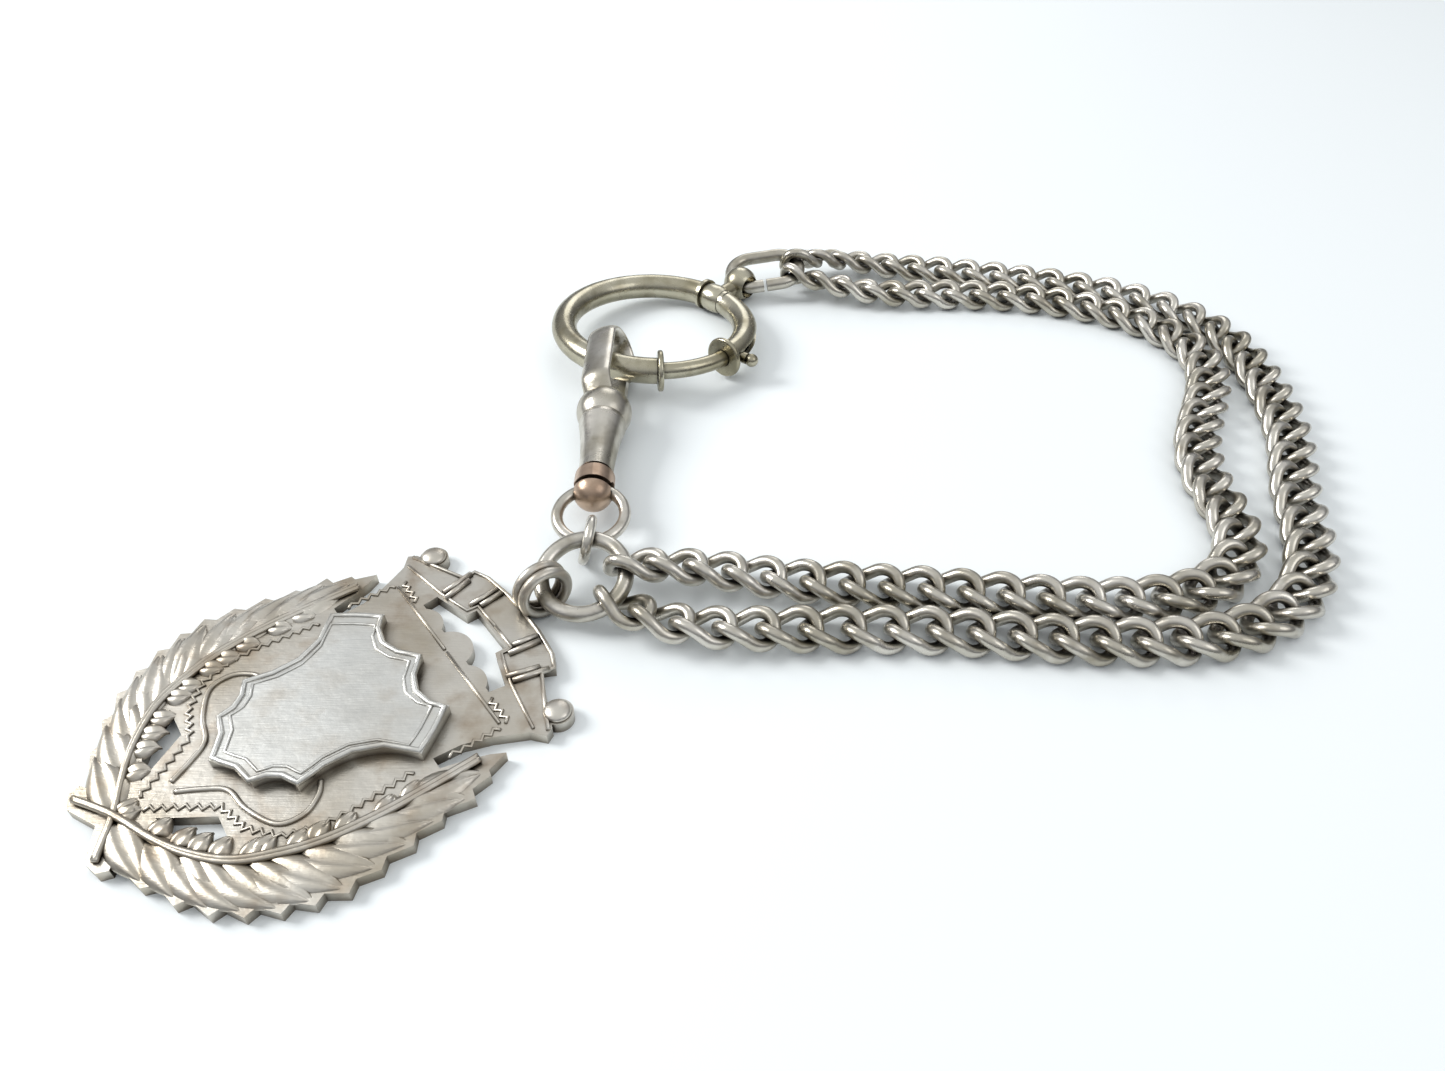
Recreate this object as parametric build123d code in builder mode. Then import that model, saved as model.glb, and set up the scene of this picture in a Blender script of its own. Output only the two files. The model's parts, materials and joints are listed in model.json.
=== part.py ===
# Pocket watch chain with a fob medal, laid out on a table.
# Millimetres, +Z up. The origin is below the middle of the whole layout, on the table.
import os
from math import acos, asin, atan2, cos, degrees, pi, radians, sin, tan

from build123d import *

# ---------------------------------------------------------------- driving sizes
link_wire = 1.10            # round wire of a curb link
link_half_length = 2.35     # centreline, along the strand
link_half_width = 1.72      # centreline, across the strand
link_half_twist = 0.99      # how far the twist lifts the centreline corners
link_pitch = 3.35           # from one link to the next when laid out

large_ring_wire = 1.40      # ring that gathers both strands and the fob
large_ring_radius = 3.65    # centreline
swivel_ring_wire = 1.10
swivel_ring_radius = 3.10
joiner_wire = 0.90          # thin oval link from swivel ring to large ring
joiner_half_width = 1.75

end_link_wire = 1.50        # heavy oval link at the bolt ring
end_link_half_length = 4.20
end_link_radius = 2.60
end_link_gap = 0.40

bolt_ring_radius = 10.30    # centreline
tube_diameter = 2.80
tube_bore = 1.96
bolt_wire = 1.80
flange_diameter = 4.40
flange_thickness = 0.60
collar_diameter = 3.30
collar_length = 2.60
neck_diameter = 1.90
eye_ball_diameter = 4.00
eye_hole = 2.70
eye_reach = 4.60            # from the tube's centreline to the ball's centre
thumb_wire = 0.90

barrel_ball_diameter = 5.60
barrel_waist = 3.30
barrel_length = 9.60        # from the ball's centre to the swivel end
hook_width = 3.20
hook_thickness = 1.15
hook_inside_top = 2.10      # from the clip's axis to the spine's inner face
hook_inside_bottom = 2.10   # from the clip's axis to the gate's inner face
hook_reach = 10.40          # from the ball's centre to the centre of the bend
gate_thickness = 0.60
gate_width = 1.80
gate_pin_diameter = 0.70
swivel_eye_diameter = 3.80
swivel_eye_length = 4.40
swivel_stem_diameter = 1.50

plate_thickness = 1.00
cartouche_height = 0.90
bail_wire = 0.95
bail_radius = 2.05          # centreline

# ---------------------------------------------------------------- clearances
running_clearance = 0.05    # shafts in bores, radial
ring_clearance = 0.16       # wire lying in a link
pin_clearance = 0.03

# ---------------------------------------------------------------- frames
table = 0.0
strand_height = link_half_twist * 0.71 + link_wire / 2 + 0.05
fob_centre = Vector(-30.5, 49.3, table)
fob_heading = 37.2          # degrees from +X to the fob's top

large_ring_centre = Vector(-11.8, 62.3, 2.80)
large_ring_tilt = 17.0
large_ring_rise = 75.0     # the side that is highest, degrees from +X

bolt_ring_centre = Vector(-7.7, 103.2, 2.75)
bolt_ring_tilt = 4.5
bolt_ring_rise = -130.0
collar_angle = 48.5         # where the collar stands on the ring
eye_lift = 6.0              # the collar is turned this far, which lifts its ball
left_flange_angle = -84.0
right_flange_angle = -40.0
thumb_angle = -33.0
bolt_travel = 40.0

clip_centre = Vector(-12.0, 85.5, 3.12)
clip_pitch = 1.2
clip_roll = 21.0
end_link_turn = 6.0
end_link_dip = -6.2
end_link_lean = 12.6
ring_roll = 30.0             # turn of the first link on a ring, eased off from link to link
roll_step = 6.0


def tilted_plane(centre, rise, tilt, heading=0.0):
    """A plane that rises by tilt towards the compass angle rise, with its x near heading."""
    up = Vector(-sin(radians(tilt)) * cos(radians(rise)),
                -sin(radians(tilt)) * sin(radians(rise)), cos(radians(tilt)))
    ahead = Vector(cos(radians(heading)), sin(radians(heading)), 0)
    return Plane(origin=centre, x_dir=ahead - up * ahead.dot(up), z_dir=up)


def polar(radius, angle):
    return (radius * cos(radians(angle)), radius * sin(radians(angle)))


large_ring_plane = tilted_plane(large_ring_centre, large_ring_rise, large_ring_tilt)
bolt_ring_plane = tilted_plane(bolt_ring_centre, bolt_ring_rise, bolt_ring_tilt)

fob_plane = Plane(origin=fob_centre, x_dir=(sin(radians(fob_heading)), -cos(radians(fob_heading)), 0),
                  z_dir=(0, 0, 1))

# the collar's own frame: x out to the ball, z along the neck
tube_centre = bolt_ring_plane.from_local_coords(Vector(*polar(bolt_ring_radius, collar_angle), 0))
outward = bolt_ring_plane.from_local_coords(Vector(*polar(bolt_ring_radius + 1, collar_angle), 0)) - tube_centre
neck_axis = bolt_ring_plane.z_dir.cross(outward).normalized()
ball_way = outward.rotate(Axis((0, 0, 0), neck_axis), -eye_lift)
collar_plane = Plane(origin=tube_centre, x_dir=ball_way, z_dir=neck_axis)
ball_centre = collar_plane.from_local_coords(Vector(eye_reach, 0, 0))

# the clip's own frame: x towards the hook's bend, z to the hook's spine
clip_ahead = Vector(0, cos(radians(clip_pitch)), sin(radians(clip_pitch)))
clip_up = Vector(0, -sin(radians(clip_pitch)), cos(radians(clip_pitch)))
clip_up = clip_up.rotate(Axis((0, 0, 0), clip_ahead), -clip_roll)
clip_plane = Plane(origin=clip_centre, x_dir=clip_ahead, z_dir=clip_up)
eye_plane = Plane(origin=clip_centre, x_dir=clip_ahead, z_dir=clip_up.rotate(Axis((0, 0, 0), clip_ahead), clip_roll))

# ---------------------------------------------------------------- export
pieces = {}


def keep(name, *solids, plane=Plane.XY):
    """Remember a finished piece, or a group of equal ones, in the layout's frame."""
    pieces[name] = [s.moved(plane.location) for p in solids for s in p.solids()]


def wire_ring(radius, wire, start=0, arc=360):
    """A round ring of wire in the XY plane, or an arc of one."""
    at = polar(radius, start)
    section = Plane(origin=(*at, 0), x_dir=(cos(radians(start)), sin(radians(start)), 0),
                    z_dir=(-sin(radians(start)), cos(radians(start)), 0))
    with BuildPart() as ring:
        with BuildSketch(section):
            Circle(wire / 2)
        revolve(axis=Axis.Z, revolution_arc=arc)
    return ring.part


def closed_wire(points, share, wire):
    """A closed link of round wire along straight runs and tangent arcs, swept as two halves."""
    radii = []
    for i, point in enumerate(points):
        before = point - points[i - 1]
        after = points[(i + 1) % len(points)] - point
        half_turn = radians(before.get_angle(after)) / 2
        radii.append(share * min(before.length, after.length) / tan(half_turn))
    with BuildLine() as path:
        FilletPolyline(*points, radius=radii, close=True)
    edges = path.wires()[0].edges()
    middle = len(edges) // 2
    with BuildPart() as link:
        for half in (Wire(edges[:middle]), Wire(edges[middle:])):
            with BuildSketch(Plane(origin=half @ 0, z_dir=half % 0)):
                Circle(wire / 2)
            sweep(path=half)
    return link.part


# ---------------------------------------------------------------- fob medal
# half outline of the branches: the tips of the leaves, from the base up
leaf_tips = [(6.8, -15.3), (9.4, -13.9), (11.5, -12.3), (13.0, -10.5), (14.2, -8.5), (15.0, -6.5),
             (15.5, -4.4), (15.2, -2.0), (14.8, 0.5), (14.2, 2.9), (14.0, 5.6)]
leaf_notch = 0.65


def branch_edge():
    """Leaf tips with a notch above each one, from the stem's end to the branch's top."""
    points = [(0, -16.5), (2.6, -17.8), (3.9, -17.4), (4.2, -16.6), (3.6, -16.2)]
    for (x, y), (next_x, next_y) in zip(leaf_tips, leaf_tips[1:] + [(12.9, 7.4)]):
        inward = leaf_notch / (x * x + y * y) ** 0.5
        points += [(x, y), (0.75 * x + 0.25 * next_x - inward * x, 0.75 * y + 0.25 * next_y - inward * y)]
    return points + [(12.9, 7.4), (12.4, 7.5), (11.8, 9.25)]


right_edge = branch_edge() + [(11.2, 8.2), (10.6, 6.5), (10.1, 4.7), (9.0, 4.7), (9.15, 6.9), (9.9, 9.0),
                              (11.2, 11.5), (12.3, 12.4), (11.9, 13.1), (6.4, 15.3), (6.9, 16.3), (5.6, 17.0),
                              (2.6, 17.4)]
left_edge = [(-x, y) for x, y in reversed(right_edge[1:])]

with BuildPart() as fob_plate:
    with BuildSketch():
        with BuildLine():
            Polyline(*right_edge, *left_edge, close=True)
        make_face()
        with Locations((10.8, 14.2), (-10.8, 14.2)):
            Circle(1.25)
        with BuildSketch(mode=Mode.SUBTRACT):
            with BuildLine():
                Polyline((-5.9, 10.9), (-6.1, 12.25), (-2.6, 13.2), (-2.6, 14.2), (2.6, 14.2), (2.6, 13.2),
                         (6.1, 12.25), (5.9, 10.9), close=True)
            make_face()
            with Locations((0, 10.2)):
                Circle(2.1, mode=Mode.SUBTRACT)
            with Locations((3.9, 9.6), (-3.9, 9.6)):
                Circle(1.95, mode=Mode.SUBTRACT)
        for side in (1, -1):
            with BuildLine():
                Polyline((side * 7.4, -9.45), (side * 4.4, -9.45), (side * 1.9, -13.0), (side * 3.9, -12.4),
                         (side * 5.9, -11.1), close=True)
            make_face(mode=Mode.SUBTRACT)
    extrude(amount=plate_thickness)
keep("fob_plate", fob_plate.part, plane=fob_plane)

cartouche_right = [((0, 8.2), (3.1, 6.4), (5.97, 7.65)), ((8.8, 4.05), (5.6, 0.2), (5.95, -4.14)),
                   ((5.95, -4.14), (4.2, -4.9), (3.6, -6.65)), ((3.6, -6.65), (1.5, -7.2), (0, -8.5))]
with BuildPart() as cartouche:
    with BuildSketch(Plane.XY.offset(plate_thickness)):
        with BuildLine():
            for side in (1, -1):
                for arc in cartouche_right:
                    ThreePointArc(*[(side * x, y) for x, y in arc])
                Line((side * 5.97, 7.65), (side * 8.8, 4.05))
        make_face()
    extrude(amount=cartouche_height)
keep("cartouche", cartouche.part, plane=fob_plane)

bail_height = bail_radius + bail_wire / 2
bail_seat = 17.4 + bail_radius - bail_wire / 2 + 0.3
bail_rings = []
for side in (-0.5, 0.5):
    bail_plane = Plane(origin=(side * (bail_wire + 0.04), bail_seat, bail_height), x_dir=(0, 1, 0),
                       z_dir=(1, 0, 0))
    bail_rings.append(wire_ring(bail_radius, bail_wire).moved(bail_plane.location))
keep("fob_bail", *bail_rings, plane=fob_plane)

# ---------------------------------------------------------------- rings at the near corner
keep("large_ring", wire_ring(large_ring_radius, large_ring_wire), plane=large_ring_plane)


def oval_points(half_straight, radius, sides=8):
    """Corners of the path of an oval link, as long as its round ends need."""
    points = []
    for i in range(sides):
        angle = (i + 0.5) * 2 * pi / sides
        reach = radius / cos(pi / sides)
        shift = half_straight if cos(angle) > 0 else -half_straight
        points.append(Vector(shift + reach * cos(angle), reach * sin(angle), 0))
    return points


# ---------------------------------------------------------------- swivel clip
hook_top = hook_inside_top + hook_thickness / 2
hook_bend = (hook_inside_top + hook_inside_bottom + hook_thickness) / 2
hook_bottom = hook_top - 2 * hook_bend
nose_end = hook_reach - 1.3
pin_x, pin_z = 0.7, -1.5
slot_width = gate_width + 0.16

ball_radius = barrel_ball_diameter / 2
with BuildPart() as clip_body:
    with BuildSketch(Plane.XZ):
        with BuildLine():
            Line((-barrel_length, 0), (-barrel_length, barrel_waist / 2))
            ThreePointArc((-barrel_length, barrel_waist / 2), (-5.6, 1.86), (-2.3, 2.35))
            Line((-2.3, 2.35), (-0.6 * ball_radius, 0.8 * ball_radius))
            ThreePointArc((-0.6 * ball_radius, 0.8 * ball_radius), (0, ball_radius), (ball_radius, 0))
            Line((ball_radius, 0), (-barrel_length, 0))
        make_face()
    revolve(axis=Axis.X)
    with BuildLine(Plane.XZ) as spine:
        FilletPolyline((0.6, 0.9), (2.9, hook_top), (hook_reach, hook_top), radius=1.6)
        RadiusArc((hook_reach, hook_top), (hook_reach, hook_bottom), hook_bend)
        Line((hook_reach, hook_bottom), (nose_end, hook_bottom))
    with BuildSketch(Plane(origin=spine.wires()[0] @ 0, z_dir=spine.wires()[0] % 0, x_dir=(0, 1, 0))):
        Ellipse(hook_width / 2, hook_thickness / 2)
    sweep(path=spine.wires()[0])
    # slot for the gate's tail and the pin through it
    with BuildSketch(Plane.XZ):
        with BuildLine():
            Polyline((-1.5, -4), (-1.5, -0.55), (4, -0.55), (4, -4), close=True)
        make_face()
    extrude(amount=slot_width / 2, both=True, mode=Mode.SUBTRACT)
    with Locations(Plane(origin=(pin_x, 0, pin_z), z_dir=(0, 1, 0))):
        Cylinder(gate_pin_diameter / 2, 8, mode=Mode.SUBTRACT)
    # bore for the swivel's stem, wider inside for its rivet head
    with Locations(Plane(origin=(-barrel_length, 0, 0), z_dir=(1, 0, 0))):
        Cylinder(swivel_stem_diameter / 2 + running_clearance, 1.6, mode=Mode.SUBTRACT,
                 align=(Align.CENTER, Align.CENTER, Align.MIN))
    with Locations(Plane(origin=(-barrel_length + 1.6, 0, 0), z_dir=(1, 0, 0))):
        Cylinder(1.15, 1.4, mode=Mode.SUBTRACT, align=(Align.CENTER, Align.CENTER, Align.MIN))
keep("clip_body", clip_body.part, plane=clip_plane)

gate_top = -hook_inside_bottom
with BuildPart() as gate_lever:
    with BuildSketch(Plane.XZ):
        with BuildLine():
            Polyline((-1.2, -1.1), (-1.2, -1.9), (0.3, -2.45), (3.0, gate_top - gate_thickness),
                     (nose_end - 0.2, gate_top - gate_thickness), (nose_end - 0.2, gate_top), (3.4, gate_top),
                     (1.8, -0.95), (0.2, -0.85), close=True)
        make_face()
    extrude(amount=gate_width / 2, both=True)
    with Locations(Plane(origin=(pin_x, 0, pin_z), z_dir=(0, 1, 0))):
        Cylinder(gate_pin_diameter / 2 + pin_clearance, 8, mode=Mode.SUBTRACT)
keep("gate_lever", gate_lever.part, plane=clip_plane)

with BuildPart() as gate_pin:
    with Locations(Plane(origin=(pin_x, 0, pin_z), z_dir=(0, 1, 0))):
        Cylinder(gate_pin_diameter / 2, 4.2)
keep("gate_pin", gate_pin.part, plane=clip_plane)

with BuildPart() as gate_spring:
    with Locations((1.7, 0, -0.55)):
        Box(1.6, 1.2, 0.15, align=(Align.CENTER, Align.CENTER, Align.MAX))
keep("gate_spring", gate_spring.part, plane=clip_plane)

eye_front = -barrel_length - running_clearance
eye_radius = swivel_eye_diameter / 2
round_x = eye_front - swivel_eye_length + eye_radius
with BuildPart() as swivel_eye:
    with BuildSketch(Plane.XZ):
        with BuildLine():
            Polyline((eye_front, 0), (eye_front, 1.5), (eye_front - 0.5, eye_radius),
                     (round_x, eye_radius))
            ThreePointArc((round_x, eye_radius), (round_x - eye_radius * cos(pi / 4), eye_radius * sin(pi / 4)),
                          (round_x - eye_radius, 0))
            Line((eye_front - swivel_eye_length, 0), (eye_front, 0))
        make_face()
    revolve(axis=Axis.X)
    with Locations(Plane(origin=(eye_front, 0, 0), z_dir=(1, 0, 0))):
        Cylinder(swivel_stem_diameter / 2, 1.9, align=(Align.CENTER, Align.CENTER, Align.MIN))
    # cross hole for the swivel ring, open to the top by a saw cut
    ring_hole_x = eye_front - 2.45
    with Locations(Plane(origin=(ring_hole_x, 0, 0), z_dir=(0, 1, 0))):
        Cylinder(swivel_ring_wire / 2 + 0.33, 8, mode=Mode.SUBTRACT)
    with Locations((ring_hole_x, 0, 0)):
        Box(0.55, 8, 8, align=(Align.CENTER, Align.CENTER, Align.MIN), mode=Mode.SUBTRACT)
keep("swivel_eye", swivel_eye.part, plane=eye_plane)

with BuildPart() as stem_washer:
    with Locations(Plane(origin=(eye_front + 1.9, 0, 0), z_dir=(1, 0, 0))):
        Cylinder(1.05, 0.5, align=(Align.CENTER, Align.CENTER, Align.MIN))
keep("stem_head", stem_washer.part, plane=eye_plane)

# the swivel ring hangs from the eye's cross hole towards the near side
hole_centre = clip_plane.from_local_coords(Vector(ring_hole_x, 0, 0))
ring_dip = 9.5
ring_centre = hole_centre - Vector(0, cos(radians(ring_dip)), sin(radians(ring_dip))) * (swivel_ring_radius - 0.30)
swivel_plane = Plane(origin=ring_centre, x_dir=(1, 0, 0), z_dir=(0, -sin(radians(ring_dip)), cos(radians(ring_dip))))
keep("swivel_ring", wire_ring(swivel_ring_radius, swivel_ring_wire), plane=swivel_plane)

# thin link from the swivel ring's near side to the large ring's far side
joiner_near = large_ring_plane.from_local_coords(Vector(*polar(large_ring_radius, 88), 0))
joiner_far = swivel_plane.from_local_coords(Vector(*polar(swivel_ring_radius, -92), 0))
joiner_way = (joiner_far - joiner_near).normalized()
joiner_half = (joiner_far - joiner_near).length / 2 + large_ring_wire / 2 + joiner_wire / 2 + 0.10
joiner_plane = Plane(origin=(joiner_near + joiner_far) / 2, x_dir=joiner_way,
                     z_dir=Vector(-1, 0, 0.3) - joiner_way * Vector(-1, 0, 0.3).dot(joiner_way))
keep("joiner_link", closed_wire(oval_points(joiner_half - joiner_half_width, joiner_half_width), 0.48, joiner_wire),
     plane=joiner_plane)

# ---------------------------------------------------------------- bolt ring
shoulder = 0.45
neck_half = collar_length / 2 + running_clearance + shoulder
inner_bend = bolt_ring_radius - tube_diameter / 2
neck_half_angle = degrees(asin((neck_half + 0.01) / inner_bend))
far_start = collar_angle + neck_half_angle
far_end = 360 + left_flange_angle
near_start = right_flange_angle
near_end = collar_angle - neck_half_angle

bolt_tip = left_flange_angle - 3.5
bolt_root = near_start + 16.0
bore_end = near_end - 3.0


def flange(angle, bore):
    """A collar disc on the tube, square to it."""
    at = polar(bolt_ring_radius, angle)
    square = Plane(origin=(*at, 0), z_dir=(-sin(radians(angle)), cos(radians(angle)), 0))
    with BuildPart() as disc:
        with BuildSketch(square):
            Circle(flange_diameter / 2)
            Circle(bore / 2, mode=Mode.SUBTRACT)
        extrude(amount=flange_thickness / 2, both=True)
        fillet(disc.edges().group_by(SortBy.LENGTH)[-1], flange_thickness * 0.4)
    return disc.part


def solid_arc(diameter, start, arc):
    return wire_ring(bolt_ring_radius, diameter, start, arc)


flange_share = degrees(asin((flange_thickness / 2 + 0.01) / inner_bend))
with BuildPart() as long_tube:
    add(solid_arc(tube_diameter, far_start, far_end - flange_share - far_start))
    add(solid_arc(tube_bore, far_end - flange_share - 6, 6), mode=Mode.SUBTRACT)
keep("long_tube", long_tube.part, plane=bolt_ring_plane)

# slot that the thumb stud travels in, on the outside of the bend
slot_start = thumb_angle - 5
slot_at = polar(bolt_ring_radius + 1.4, slot_start)
with BuildPart() as thumb_slot:
    with BuildSketch(Plane(origin=(*slot_at, 0), x_dir=(*polar(1, slot_start), 0),
                           z_dir=(*polar(1, slot_start + 90), 0))):
        Rectangle(2.0, thumb_wire + 0.2)
    revolve(axis=Axis.Z, revolution_arc=bolt_travel + 10)

with BuildPart() as short_tube:
    add(solid_arc(tube_diameter, near_start + flange_share, near_end - near_start - flange_share))
    add(solid_arc(tube_bore, near_start + flange_share, bore_end - near_start - flange_share), mode=Mode.SUBTRACT)
    add(thumb_slot.part, mode=Mode.SUBTRACT)
keep("short_tube", short_tube.part, plane=bolt_ring_plane)

keep("left_flange", flange(left_flange_angle, tube_bore), plane=bolt_ring_plane)
keep("right_flange", flange(right_flange_angle, tube_bore), plane=bolt_ring_plane)

with BuildPart() as bolt:
    add(solid_arc(bolt_wire, bolt_tip, bolt_root - bolt_tip))
    stud_hole = Plane(origin=(*polar(bolt_ring_radius, thumb_angle), 0),
                      z_dir=(cos(radians(thumb_angle)), sin(radians(thumb_angle)), 0))
    with Locations(stud_hole):
        Cylinder(thumb_wire / 2, 2, align=(Align.CENTER, Align.CENTER, Align.MIN), mode=Mode.SUBTRACT)
keep("bolt", bolt.part, plane=bolt_ring_plane)

with BuildPart() as thumb_stud:
    with Locations(stud_hole):
        Cylinder(thumb_wire / 2, 2.3, align=(Align.CENTER, Align.CENTER, Align.MIN))
    with Locations(stud_hole.offset(2.7)):
        Sphere(0.72)
    with Locations(stud_hole.offset(1.9)):
        Cylinder(0.62, 0.5)
keep("thumb_stud", thumb_stud.part, plane=bolt_ring_plane)

with BuildPart() as bolt_spring:
    add(solid_arc(1.60, bolt_root + 0.4, bore_end - bolt_root - 0.8))
    add(solid_arc(1.00, bolt_root + 0.4, bore_end - bolt_root - 0.8), mode=Mode.SUBTRACT)
keep("bolt_spring", bolt_spring.part, plane=bolt_ring_plane)

# neck with two shoulders, square to the collar's own axis
with BuildPart() as neck:
    Cylinder(neck_diameter / 2, collar_length + 2 * shoulder + 2 * running_clearance)
    for side in (1, -1):
        with Locations((0, 0, side * (collar_length / 2 + running_clearance + shoulder / 2))):
            Cylinder(3.60 / 2 if side > 0 else tube_diameter / 2, shoulder)
keep("ring_neck", neck.part, plane=collar_plane)

with BuildPart() as collar:
    with BuildSketch(Plane.XZ):
        with BuildLine():
            Line((0, -collar_length / 2), (0, collar_length / 2))
            Line((0, collar_length / 2), (collar_diameter / 2 - 0.2, collar_length / 2))
            ThreePointArc((collar_diameter / 2 - 0.2, collar_length / 2), (collar_diameter / 2, 0),
                          (collar_diameter / 2 - 0.2, -collar_length / 2))
            Line((collar_diameter / 2 - 0.2, -collar_length / 2), (0, -collar_length / 2))
        make_face()
    revolve(axis=Axis.Z)
    with Locations((eye_reach, 0, 0)):
        Sphere(eye_ball_diameter / 2)
    with Locations(Plane(origin=(0, 0, 0), z_dir=(1, 0, 0))):
        Cylinder(0.95, eye_reach, align=(Align.CENTER, Align.CENTER, Align.MIN))
    Cylinder(neck_diameter / 2 + running_clearance, collar_length + 1, mode=Mode.SUBTRACT)
    with Locations((eye_reach, 0, 0)):
        Cylinder(eye_hole / 2, 8, mode=Mode.SUBTRACT)
keep("collar", collar.part, plane=collar_plane)

# ---------------------------------------------------------------- end link
end_link_ahead = Vector(*polar(cos(radians(end_link_dip)), end_link_turn), -sin(radians(end_link_dip)))
end_link_side = Vector(*polar(cos(radians(end_link_lean)), end_link_turn + 90), sin(radians(end_link_lean)))
end_link_straight = end_link_half_length - end_link_radius
eye_angle = collar_angle - 180 - end_link_turn
eye_sag = 0.28              # half the bow of the end link's wire inside the ball
eye_corner = Vector(-end_link_straight, 0, 0) + Vector(*polar(end_link_radius - eye_sag, eye_angle), 0)
end_link_frame = Plane(origin=(0, 0, 0), x_dir=end_link_ahead, z_dir=end_link_ahead.cross(end_link_side))
end_link_centre = ball_centre - (end_link_frame.from_local_coords(eye_corner))
end_link_plane = Plane(origin=end_link_centre, x_dir=end_link_frame.x_dir, z_dir=end_link_frame.z_dir)

gap_angle = degrees(end_link_gap / 2 / end_link_radius)
half_gap = end_link_gap / 2
gap_x = -0.35
round_end = end_link_radius
with BuildPart() as end_link:
    with BuildLine() as end_path:
        Line((gap_x + half_gap, -round_end), (end_link_straight, -round_end))
        RadiusArc((end_link_straight, -round_end), (end_link_straight, round_end), -round_end)
        Line((end_link_straight, round_end), (-end_link_straight, round_end))
        RadiusArc((-end_link_straight, round_end), (-end_link_straight, -round_end), -round_end)
        Line((-end_link_straight, -round_end), (gap_x - half_gap, -round_end))
    end_wire = end_path.wires()[0]
    with BuildSketch(Plane(origin=end_wire @ 0, z_dir=end_wire % 0)):
        Circle(end_link_wire / 2)
    sweep(path=end_wire)
keep("end_link", end_link.part, plane=end_link_plane)

# ---------------------------------------------------------------- curb strands
inner_start = large_ring_plane.from_local_coords(Vector(*polar(large_ring_radius, 14), 0))
outer_start = large_ring_plane.from_local_coords(Vector(*polar(large_ring_radius, -43), 0))
right_arc = Vector(end_link_straight, 0, 0)
inner_end = end_link_plane.from_local_coords(right_arc + Vector(*polar(end_link_radius, -38), 0))
outer_end = end_link_plane.from_local_coords(right_arc + Vector(*polar(end_link_radius, 28), 0))

# the routes of the two strands on the table, from the large ring to the end link
inner_route = [(-4.4, 63.7, 2.80), (0.0, 63.6, 2.20), (6, 63.0, 1.55), (12, 62.6), (19, 62.1), (27, 61.1), (34, 60.7),
               (40.5, 61.5), (44.6, 64.0), (46.7, 67.6), (47.1, 71.2), (46.7, 74.8), (46.7, 78.4), (47.5, 82.2),
               (49.1, 86.0), (51.0, 89.6), (52.7, 93.2), (53.8, 97.2), (53.2, 101.1), (51.2, 104.7),
               (47.9, 107.9), (43.0, 110.4), (37.0, 112.2), (31, 112.9), (25, 113.0),
               (18.5, 112.8, 1.62), (13.3, 113.8, 2.25)]
outer_route = [(-5.9, 57.8, 2.25), (-2.0, 57.2, 1.90), (5, 57.4, 1.48), (12, 57.6), (19, 57.4), (27, 56.5), (35, 56.05),
               (41.0, 56.6), (46.0, 58.4), (49.7, 61.4), (52.0, 65.2), (53.3, 69.3), (54.0, 73.3),
               (55.2, 77.3), (56.9, 81.5), (58.0, 86.0), (58.7, 91.0), (58.9, 96.0), (58.6, 100.8),
               (57.2, 105.4), (53.9, 109.5), (49.0, 112.9), (43.3, 115.2), (37, 116.9), (31, 118.3), (24.5, 119.5),
               (18.2, 120.1, 1.80), (12.9, 119.95, 2.55)]
fold_lines = 4              # lines that both runs of the chain fold about
links_between = 2           # links from one fold line to the next


def make_route(start, points, end):
    """Straight runs and tangent arcs on the table, rising at both ends to the rings."""
    corners = [start] + [Vector(*p) if len(p) == 3 else Vector(*p, strand_height) for p in points] + [end]
    radii = []
    for before, point, after in zip(corners, corners[1:], corners[2:]):
        one, two = point - before, after - point
        radii.append(0.45 * min(one.length, two.length) / tan(radians(one.get_angle(two)) / 2))
    with BuildLine() as route:
        FilletPolyline(*corners, radius=radii)
    return route.wires()[0]


def point_on(route, length):
    return route.position_at(length, position_mode=PositionMode.LENGTH)


def where_x(route, x, low, high):
    """The length along the route, between low and high, where it meets a fold line."""
    rising = point_on(route, low).X < x
    for _ in range(24):
        middle = (low + high) / 2
        if (point_on(route, middle).X < x) == rising:
            low = middle
        else:
            high = middle
    return (low + high) / 2


def seat(wire):
    """From a link's centre to the middle of the ring wire that it hangs on."""
    return link_half_length - link_wire / 2 - wire / 2 - ring_clearance


def strand_stations(route, lines):
    """Lengths at which one link gives way to the next, in groups, one for each segment."""
    first = seat(large_ring_wire) - link_pitch / 2
    last = route.length - (seat(end_link_wire) - link_pitch / 2)
    near = [where_x(route, x, 0, route.length * 0.42) for x in lines]
    far = [where_x(route, x, route.length * 0.6, route.length) for x in reversed(lines)]
    ends = [first] + near + far + [last]
    groups = []
    for low, high in zip(ends, ends[1:]):
        count = max(1, round((high - low) / link_pitch))
        groups.append([low + (high - low) * i / count for i in range(count + 1)])
    return groups


def link_places(route, groups):
    """A plane for every link: x along the strand, rolled near the two rings so that they pass."""
    total = sum(len(g) - 1 for g in groups)
    places, index = [], 0
    for stations in groups:
        segment = []
        for low, high in zip(stations, stations[1:]):
            # past the route's ends the first and last links run straight on
            back, ahead = point_on(route, max(low, 0)), point_on(route, min(high, route.length))
            along = (ahead - back).normalized()
            if low < 0:
                middle = back + along * ((low + high) / 2)
            elif high > route.length:
                middle = ahead - along * (route.length - (low + high) / 2)
            else:
                middle = (ahead + back) / 2
            roll = min(0, roll_step * index - ring_roll) + max(0, ring_roll - roll_step * (total - 1 - index))
            up = Vector(0, 0, 1)
            up = (up - along * up.dot(along)).rotate(Axis((0, 0, 0), along), roll)
            segment.append(Plane(origin=middle, x_dir=along, z_dir=up))
            index += 1
        places.append(segment)
    return places


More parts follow.
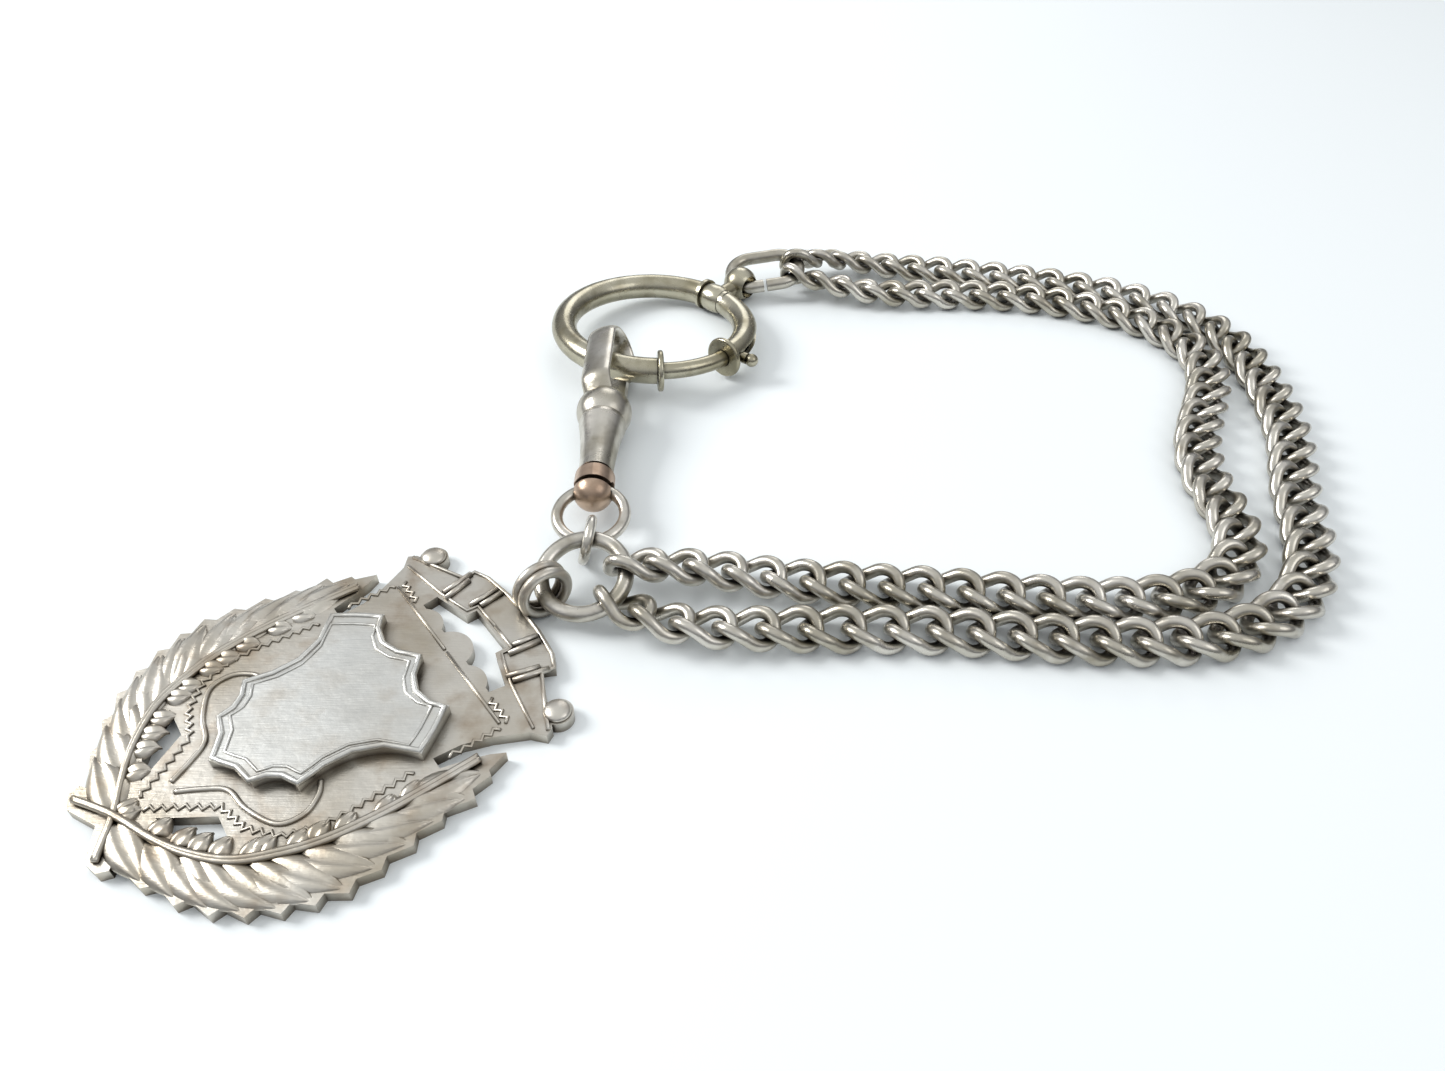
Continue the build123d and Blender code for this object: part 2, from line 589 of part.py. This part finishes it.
def link_points(sides=8):
    """Corners around the twisted oval of a curb link."""
    points, reach = [], 1 / cos(pi / sides)
    for i in range(sides):
        turn = (i + 0.5) * 2 * pi / sides
        points.append(Vector(reach * link_half_length * cos(turn), reach * link_half_width * sin(turn),
                             link_half_twist * sin(2 * turn)))
    return points


curb_link = closed_wire(link_points(), 0.49, link_wire)
# the far run's first links hang on the end link, and the first fold line is past them
first_line = (inner_end.X + outer_end.X) / 2 + seat(end_link_wire) + (links_between + 0.4) * link_pitch
fold_x = [first_line + i * links_between * link_pitch for i in range(fold_lines)]

strands = {}
for strand, start, points, end in (("inner", inner_start, inner_route, inner_end),
                                   ("outer", outer_start, outer_route, outer_end)):
    route = make_route(start, points, end)
    places = link_places(route, strand_stations(route, fold_x))
    bend = places[fold_lines]
    third = len(bend) // 3
    names = [f"{strand}_near_{i}" for i in range(fold_lines)]
    names += [f"{strand}_bend_{i}" for i in (1, 2, 3)]
    names += [f"{strand}_far_{i}" for i in reversed(range(fold_lines))]
    segments = places[:fold_lines] + [bend[:third], bend[third:2 * third], bend[2 * third:]]
    segments += places[fold_lines + 1:]
    strands[strand] = dict(zip(names, segments))
    for name, segment in strands[strand].items():
        keep(name, *[curb_link.moved(place.location) for place in segment])
    print(strand, "strand:", sum(len(s) for s in segments), "links, route", round(route.length, 1), "mm")

# ---------------------------------------------------------------- move to the origin and write
everything = Compound(children=[Solid(s.wrapped) for group in pieces.values() for s in group])
box = everything.bounding_box()
to_origin = Vector(-(box.min.X + box.max.X) / 2, -(box.min.Y + box.max.Y) / 2, 0)
os.makedirs("parts", exist_ok=True)
for name, solids in pieces.items():
    group = Compound(children=[s.moved(Location(to_origin)) for s in solids])
    group.label = name
    export_step(group, f"parts/{name}.step")
print("box", box.min, box.max, "moved by", to_origin, len(pieces), "nodes")
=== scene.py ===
# Looks for the pocket watch chain. Lengths are metres unless a name says mm.
import json
import math
import random

import bmesh
import bpy
from mathutils import Matrix, Vector


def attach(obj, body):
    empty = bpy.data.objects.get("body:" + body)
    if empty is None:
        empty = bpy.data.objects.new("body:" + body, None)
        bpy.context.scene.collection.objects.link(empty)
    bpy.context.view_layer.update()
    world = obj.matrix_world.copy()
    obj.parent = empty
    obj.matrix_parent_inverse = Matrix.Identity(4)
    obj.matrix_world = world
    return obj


MM = 0.001
FLOOR_HALF = 12.0
random.seed(7)

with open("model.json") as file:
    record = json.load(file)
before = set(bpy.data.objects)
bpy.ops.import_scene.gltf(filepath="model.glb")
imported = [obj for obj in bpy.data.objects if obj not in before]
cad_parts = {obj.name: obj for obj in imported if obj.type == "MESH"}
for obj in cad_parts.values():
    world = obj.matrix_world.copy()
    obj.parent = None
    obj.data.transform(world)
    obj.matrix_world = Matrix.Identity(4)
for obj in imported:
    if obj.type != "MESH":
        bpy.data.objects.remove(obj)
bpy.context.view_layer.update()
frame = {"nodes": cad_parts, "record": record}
record = frame["record"]
print("frame loaded")

# the medal's own frame: x across, y to its bail, z up from its back
fobMount = next(m for m in record["mounts"] if m["name"] == "fob_back")
fobSwing = next(j for j in record["behaviour"]["joints"] if j["name"] == "fob_swing")
fobX = -Vector(fobSwing["axis"]).normalized()
fobZ = Vector((0, 0, 1))
fobY = fobZ.cross(fobX)
fobToWorld = Matrix.Translation(Vector(fobMount["pos_m"])) @ Matrix((fobX, fobY, fobZ)).transposed().to_4x4()

plate = {"top": 1.0}
cartouche = {"top": 1.9, "rim": 0.26, "line": 0.13, "lineInset": 0.9}
leaf = {"width": 3.1, "rise": 0.58, "vein": 0.24, "rows": 12, "columns": 8}
stem = {"radius": 0.42, "rise": 0.18, "spacing": 0.34}
arch = {"edge": 0.17, "bead": 0.34, "wriggle": 0.15, "wriggleStep": 0.42, "wriggleSwing": 0.22}


# ---- materials
def nodeLink(tree, source, output, target, socket):
    tree.links.new(source.outputs[output], target.inputs[socket])


def addNode(tree, kind, **values):
    node = tree.nodes.new(kind)
    for name, value in values.items():
        setattr(node, name, value)
    return node


def noise(tree, coordinates, scale, detail=4.0):
    texture = addNode(tree, "ShaderNodeTexNoise")
    texture.inputs["Scale"].default_value = scale
    texture.inputs["Detail"].default_value = detail
    nodeLink(tree, coordinates, "Object", texture, "Vector")
    return texture


def ramp(tree, source, output, stops):
    node = addNode(tree, "ShaderNodeValToRGB")
    elements = node.color_ramp.elements
    for element, (position, colour) in zip(elements, (stops[0], stops[-1])):
        element.position, element.color = position, (*colour, 1)
    for position, colour in stops[1:-1]:
        elements.new(position).color = (*colour, 1)
    nodeLink(tree, source, output, node, "Fac")
    return node


def blendColours(tree, factor, output, first, second):
    mix = addNode(tree, "ShaderNodeMix", data_type="RGBA")
    tree.links.new(factor.outputs[output], mix.inputs[0])
    for socket, source in ((6, first), (7, second)):
        if isinstance(source, tuple):
            mix.inputs[socket].default_value = (*source, 1)
        else:
            tree.links.new(source, mix.inputs[socket])
    return mix.outputs[2]


def agedMetal(name, bright, worn, tarnish, shadeAndOxide, roughness, pits, depth=0.9 * MM):
    material = bpy.data.materials.new(name)
    material.use_nodes = True
    tree = material.node_tree
    shader = tree.nodes["Principled BSDF"]
    shader.inputs["Metallic"].default_value = 1.0
    where = addNode(tree, "ShaderNodeTexCoord")
    patches = noise(tree, where, 160, 6)
    patchMask = ramp(tree, patches, "Fac", [(0.40, (0, 0, 0)), (0.66, (1, 1, 1))])
    colour = blendColours(tree, patchMask, "Color", bright, worn)
    film = noise(tree, where, 420, 8)
    filmMask = ramp(tree, film, "Fac", [(0.50, (0, 0, 0)), (0.72, (0.65, 0.65, 0.65))])
    colour = blendColours(tree, filmMask, "Color", colour, tarnish)
    # painted shade: near-black wherever ambient occlusion finds nearby surfaces, in the gaps between parts and under
    # them, standing also for dark oxide in the hollows where nothing rubs
    occlusionShade = addNode(tree, "ShaderNodeAmbientOcclusion", samples=12)
    occlusionShade.inputs["Distance"].default_value = depth
    shadeAndOxideMask = ramp(tree, occlusionShade, "AO", [(0.18, (1, 1, 1)), (0.50, (0.55, 0.55, 0.55)), (0.82, (0, 0, 0))])
    colour = blendColours(tree, shadeAndOxideMask, "Color", colour, shadeAndOxide)
    tree.links.new(colour, shader.inputs["Base Color"])
    scratch = noise(tree, where, 1500, 3)
    roughMix = addNode(tree, "ShaderNodeMapRange")
    roughMix.inputs["To Min"].default_value = roughness - 0.10
    roughMix.inputs["To Max"].default_value = roughness + 0.16
    nodeLink(tree, film, "Fac", roughMix, "Value")
    nodeLink(tree, roughMix, "Result", shader, "Roughness")
    stretched = addNode(tree, "ShaderNodeMapping")
    stretched.inputs["Scale"].default_value = (1, 14, 5)
    nodeLink(tree, where, "Object", stretched, "Vector")
    hairline = addNode(tree, "ShaderNodeTexNoise")
    hairline.inputs["Scale"].default_value = 700
    nodeLink(tree, stretched, "Vector", hairline, "Vector")
    firstBump = addNode(tree, "ShaderNodeBump")
    firstBump.inputs["Strength"].default_value = pits
    firstBump.inputs["Distance"].default_value = 0.05 * MM
    nodeLink(tree, scratch, "Fac", firstBump, "Height")
    secondBump = addNode(tree, "ShaderNodeBump")
    secondBump.inputs["Strength"].default_value = pits * 0.7
    secondBump.inputs["Distance"].default_value = 0.04 * MM
    nodeLink(tree, hairline, "Fac", secondBump, "Height")
    nodeLink(tree, firstBump, "Normal", secondBump, "Normal")
    nodeLink(tree, secondBump, "Normal", shader, "Normal")
    return material


# the fourth colour of each finish is the painted shade and oxide laid by the ambient occlusion mask
silver = agedMetal("agedSilver", (0.64, 0.61, 0.55), (0.42, 0.39, 0.32), (0.24, 0.21, 0.15), (0.025, 0.02, 0.015),
                   0.27, 0.35)
medalSilver = agedMetal("medalSilver", (0.62, 0.59, 0.53), (0.45, 0.40, 0.32), (0.30, 0.23, 0.16),
                        (0.05, 0.035, 0.02), 0.33, 0.5, 1.4 * MM)
paleSilver = agedMetal("paleSilver", (0.68, 0.68, 0.65), (0.58, 0.57, 0.53), (0.44, 0.41, 0.36),
                       (0.12, 0.10, 0.08), 0.36, 0.45)
oliveSilver = agedMetal("oliveSilver", (0.50, 0.47, 0.37), (0.34, 0.31, 0.22), (0.20, 0.17, 0.10),
                        (0.025, 0.02, 0.012), 0.24, 0.25)
copperSilver = agedMetal("copperSilver", (0.56, 0.42, 0.32), (0.40, 0.29, 0.21), (0.22, 0.14, 0.09),
                         (0.03, 0.02, 0.015), 0.30, 0.45)
springSteel = agedMetal("springSteel", (0.45, 0.46, 0.48), (0.38, 0.39, 0.40), (0.25, 0.24, 0.22),
                        (0.04, 0.04, 0.04), 0.35, 0.2)
print("materials made")

olive = {"long_tube", "short_tube", "left_flange", "right_flange", "ring_neck", "collar", "bolt", "thumb_stud"}
coppery = {"swivel_eye", "stem_head"}
for name, node in frame["nodes"].items():
    finish = silver
    if name in olive:
        finish = oliveSilver
    elif name in coppery:
        finish = copperSilver
    elif name == "cartouche":
        finish = paleSilver
    elif name in ("fob_plate", "fob_bail"):
        finish = medalSilver
    elif name in ("bolt_spring", "gate_spring"):
        finish = springSteel
    for materialSlot in node.material_slots:
        materialSlot.link = "OBJECT"
        materialSlot.material = finish
    print("node", name, finish.name)


# ---- relief on the medal
def finishPiece(mesh, name, material, body):
    bmesh.ops.recalc_face_normals(mesh, faces=mesh.faces)
    for face in mesh.faces:
        face.smooth = True
    data = bpy.data.meshes.new(name)
    mesh.to_mesh(data)
    mesh.free()
    data.transform(fobToWorld)
    data.materials.append(material)
    piece = bpy.data.objects.new(name, data)
    bpy.context.scene.collection.objects.link(piece)
    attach(piece, body)
    return piece


def addTube(mesh, points, radius, closed=False, sides=8):
    rings = []
    count = len(points)
    for i, point in enumerate(points):
        before = points[i - 1] if i or closed else point
        after = points[(i + 1) % count] if i < count - 1 or closed else point
        along = (after - before).normalized()
        across = along.cross(Vector((0, 0, 1))).normalized()
        up = across.cross(along)
        rings.append([mesh.verts.new(point + (across * math.cos(2 * math.pi * k / sides)
                                              + up * math.sin(2 * math.pi * k / sides)) * radius)
                      for k in range(sides)])
    for i in range(count if closed else count - 1):
        one, two = rings[i], rings[(i + 1) % count]
        for k in range(sides):
            mesh.faces.new((one[k], one[(k + 1) % sides], two[(k + 1) % sides], two[k]))
    if not closed:
        mesh.faces.new(rings[0])
        mesh.faces.new(list(reversed(rings[-1])))


def smoothPath(corners, height, steps=6, closed=False):
    # Catmull-Rom through given corners, in millimetres, laid at one height
    points, count = [], len(corners)
    for i in range(count if closed else count - 1):
        if closed:
            a, b, c, d = (Vector(corners[(i + k) % count]) for k in (-1, 0, 1, 2))
        else:
            a, b, c, d = (Vector(corners[min(max(i + k, 0), count - 1)]) for k in (-1, 0, 1, 2))
        for step in range(steps):
            t = step / steps
            spot = 0.5 * (2 * b + (c - a) * t + (2 * a - 5 * b + 4 * c - d) * t * t
                          + (3 * b - a - 3 * c + d) * t ** 3)
            points.append(Vector((spot.x, spot.y, height)) * MM)
    if not closed:
        points.append(Vector((*corners[-1], height)) * MM)
    return points


def straightPath(corners, height, closed=False):
    points = []
    pairs = list(zip(corners, corners[1:] + corners[:1]))
    for (x, y), (nextX, nextY) in pairs if closed else pairs[:-1]:
        for t in (0.02, 0.5):
            points.append(Vector((x + (nextX - x) * t, y + (nextY - y) * t, height)) * MM)
    if not closed:
        points.append(Vector((*corners[-1], height)) * MM)
    return points


def wrigglePath(corners, height, step, swing):
    points, side = [], 1
    for (x, y), (nextX, nextY) in zip(corners, corners[1:]):
        run = Vector((nextX - x, nextY - y))
        across = Vector((-run.y, run.x)).normalized() * swing
        for k in range(max(1, round(run.length / step))):
            t = k / max(1, round(run.length / step))
            spot = Vector((x, y)) + run * t + across * side
            points.append(Vector((spot.x, spot.y, height)) * MM)
            side = -side
    return points


def mirrored(corners):
    return [(-x, y) for x, y in corners]


def addLeaf(mesh, root, tip, width):
    along = Vector(tip) - Vector(root)
    length = along.length
    along.normalize()
    across = Vector((-along.y, along.x))
    bow = random.uniform(-0.25, 0.25)
    rows = []
    for i in range(leaf["rows"] + 1):
        u = i / leaf["rows"]
        half = 0.5 * width * math.sin(math.pi * min(0.985, 0.06 + 0.94 * u) ** 0.85)
        row = []
        for k in range(leaf["columns"] + 1):
            v = 2 * k / leaf["columns"] - 1
            spot = Vector(root) + along * (u * length) + across * (v * half + bow * math.sin(math.pi * u))
            crown = (1 - v * v) ** 0.5 * math.sin(math.pi * (0.08 + 0.86 * u)) ** 0.6
            vein = leaf["vein"] * math.exp(-(v * half / 0.16) ** 2)
            height = plate["top"] - 0.12 + leaf["rise"] * crown - vein
            row.append(mesh.verts.new(Vector((spot.x, spot.y, height)) * MM))
        rows.append(row)
    for one, two in zip(rows, rows[1:]):
        for k in range(leaf["columns"]):
            mesh.faces.new((one[k], one[k + 1], two[k + 1], two[k]))


leafTips = [(6.6, -15.0), (9.1, -13.6), (11.2, -12.0), (12.7, -10.3), (13.9, -8.3), (14.7, -6.4), (15.1, -4.4),
            (14.9, -2.0), (14.5, 0.5), (13.9, 2.9), (13.6, 5.4), (12.3, 7.2)]
stemLine = [(-3.0, -17.2), (0.0, -15.3), (3.7, -13.6), (6.3, -12.0), (8.6, -9.8), (10.0, -7.0), (10.9, -4.0),
            (11.3, 0.0), (11.3, 4.0), (11.2, 7.4)]


def nearestOn(line, point, back):
    path = smoothPath(line, 0)
    near = min(range(len(path)), key=lambda i: (path[i].xy / MM - Vector(point)).length)
    return tuple(path[max(0, near - back)].xy / MM)


leaves = bmesh.new()
for side in (1, -1):
    for tip in leafTips:
        root = nearestOn(stemLine, tip, 9)
        addLeaf(leaves, (side * root[0], root[1]), (side * tip[0], tip[1]), leaf["width"])
        inner = (root[0] * 0.93 - 0.5, root[1] + 1.9)
        addLeaf(leaves, (side * root[0], root[1]), (side * inner[0], inner[1]), leaf["width"] * 0.62)
finishPiece(leaves, "medalLeaves", medalSilver, "fob")
print("leaves made")

stems = bmesh.new()
for side, lift in ((-1, 0.0), (1, 0.12)):
    for shift in (-0.5, 0.5):
        line = [(side * x + shift * stem["spacing"] * (0.6 if abs(y) > 12 else 1), y) for x, y in stemLine]
        addTube(stems, smoothPath(line, plate["top"] + stem["rise"] + lift), stem["radius"] * 0.6 * MM)
finishPiece(stems, "medalStems", medalSilver, "fob")
print("stems made")

archOuter = [(12.0, 12.7), (6.6, 15.15), (6.9, 16.2), (5.5, 16.8), (2.6, 17.15), (0.0, 17.25)]
archInner = [(11.2, 11.9), (6.35, 12.65), (3.0, 13.55), (3.0, 14.55), (0.0, 14.6)]
capital = [[(6.2, 15.4), (5.4, 12.7)], [(6.8, 15.9), (6.1, 12.9)], [(3.1, 16.9), (2.8, 14.7)], [(3.7, 16.8), (3.4, 14.0)]]
ribs = bmesh.new()
for turn in (lambda line: line, mirrored):
    addTube(ribs, straightPath(turn(archOuter), plate["top"] + 0.04), arch["edge"] * MM)
    addTube(ribs, straightPath(turn(archInner), plate["top"] + 0.04), arch["edge"] * 0.8 * MM)
    for band in capital:
        addTube(ribs, straightPath(turn(band), plate["top"] + 0.10), arch["bead"] * 0.8 * MM)
    addTube(ribs, straightPath(turn([(9.3, 10.1), (0.2, 10.1)]), plate["top"] + 0.02), arch["wriggle"] * MM)
    addTube(ribs, wrigglePath(turn([(9.4, 10.7), (6.2, 10.6)]), plate["top"] + 0.02, arch["wriggleStep"],
                              arch["wriggleSwing"]), arch["wriggle"] * MM)
    addTube(ribs, wrigglePath(turn([(9.5, 9.9), (9.6, 7.0), (9.5, 5.2)]), plate["top"] + 0.02, arch["wriggleStep"],
                              arch["wriggleSwing"]), arch["wriggle"] * MM)
finishPiece(ribs, "medalArch", medalSilver, "fob")
print("arch made")

knobs = bmesh.new()
for side in (1, -1):
    bmesh.ops.create_uvsphere(knobs, u_segments=24, v_segments=14, radius=1.10 * MM,
                              matrix=Matrix.Translation(Vector((side * 10.8, 14.2, plate["top"] + 0.1)) * MM)
                              @ Matrix.Diagonal((1, 1, 0.45, 1)))
finishPiece(knobs, "medalKnobs", medalSilver, "fob")

shieldRight = [(9.2, 3.0), (9.6, -2.0), (9.5, -4.2), (8.6, -6.5), (6.5, -8.3), (3.8, -9.0), (2.0, -11.4), (0.4, -13.8)]
scrollRight = [(5.9, -2.6), (7.0, -3.2), (7.9, -4.6), (7.5, -6.4), (5.0, -7.7), (2.7, -8.2), (1.5, -9.6), (0.5, -11.3)]
scrolls = bmesh.new()
for turn in (lambda line: line, mirrored):
    addTube(scrolls, wrigglePath(turn(shieldRight), plate["top"] + 0.02, arch["wriggleStep"], arch["wriggleSwing"]),
            arch["wriggle"] * MM)
    addTube(scrolls, smoothPath(turn(scrollRight), plate["top"] + 0.02), arch["wriggle"] * 1.5 * MM)
finishPiece(scrolls, "medalScrolls", medalSilver, "fob")
print("scrolls made")

rimRight = [(0.0, 8.0), (1.5, 6.75), (3.1, 6.2), (4.8, 6.55), (5.9, 7.35), (7.3, 5.75), (8.5, 4.1), (6.4, 2.3),
            (5.4, 0.2), (5.3, -2.0), (5.8, -4.0), (4.5, -4.6), (3.75, -5.5), (3.5, -6.7), (1.8, -7.0), (0.0, -8.25)]
rimLeft = mirrored(rimRight[1:-1])[::-1]
rim = bmesh.new()
addTube(rim, straightPath(rimRight + rimLeft, cartouche["top"] - 0.06, closed=True), cartouche["rim"] * MM, closed=True)
lineScale = 1 - cartouche["lineInset"] / 8.4
innerLine = [(x * lineScale, y * lineScale) for x, y in rimRight + rimLeft]
addTube(rim, straightPath(innerLine, cartouche["top"] - 0.01, closed=True), cartouche["line"] * MM, closed=True)
finishPiece(rim, "cartoucheRim", paleSilver, "fob")
print("cartouche rim made")

# ---- stage
groundData = bpy.data.meshes.new("floor")
ground = bmesh.new()
bmesh.ops.create_grid(ground, x_segments=1, y_segments=1, size=FLOOR_HALF)
ground.to_mesh(groundData)
ground.free()
floor = bpy.data.objects.new("floor", groundData)
bpy.context.scene.collection.objects.link(floor)
floorMaterial = bpy.data.materials.new("paleFloor")
floorMaterial.use_nodes = True
floorShader = floorMaterial.node_tree.nodes["Principled BSDF"]
floorShader.inputs["Base Color"].default_value = (0.88, 0.92, 0.93, 1)
floorShader.inputs["Roughness"].default_value = 0.75
groundData.materials.append(floorMaterial)

world = bpy.data.worlds.new("studio")
bpy.context.scene.world = world
world.use_nodes = True
background = world.node_tree.nodes["Background"]
background.inputs["Strength"].default_value = 0.88
place = addNode(world.node_tree, "ShaderNodeTexCoord")
split = addNode(world.node_tree, "ShaderNodeSeparateXYZ")
nodeLink(world.node_tree, place, "Generated", split, "Vector")
sky = ramp(world.node_tree, split, "Z", [(0.0, (0.10, 0.10, 0.11)), (0.30, (0.30, 0.31, 0.33)), (0.62, (0.80, 0.82, 0.85)), (1.0, (0.98, 1, 1))])
nodeLink(world.node_tree, sky, "Color", background, "Color")

# name, place, size, power in watts; each looks at the layout's middle
for name, spot, size, power in (("keySoftbox", (-0.30, 0.05, 0.22), 0.14, 0.95),
                                ("fillSoftbox", (0.25, -0.12, 0.26), 0.20, 0.16),
                                ("backStrip", (0.02, 0.30, 0.16), 0.14, 0.12)):
    lamp = bpy.data.lights.new(name, "AREA")
    lamp.size, lamp.energy = size, power
    holder = bpy.data.objects.new(name, lamp)
    holder.location = spot
    holder.rotation_euler = (-Vector(spot)).to_track_quat("-Z", "Y").to_euler()
    bpy.context.scene.collection.objects.link(holder)

# the camera stands over the near side, where the photograph was taken from
cameraSpot = {"x": -6.914 * MM, "y": -77.449 * MM, "z": 64.0 * MM, "pitch": 47.76, "lens": 25.59}
cameraData = bpy.data.cameras.new("camera")
cameraData.lens, cameraData.sensor_width = cameraSpot["lens"], 36
cameraData.clip_start = 0.005
camera = bpy.data.objects.new("camera", cameraData)
camera.location = (cameraSpot["x"], cameraSpot["y"], cameraSpot["z"])
camera.rotation_euler = (math.radians(cameraSpot["pitch"]), 0, 0)
bpy.context.scene.collection.objects.link(camera)
bpy.context.scene.camera = camera
bpy.context.scene.view_settings.view_transform = "Standard"
print("stage made")
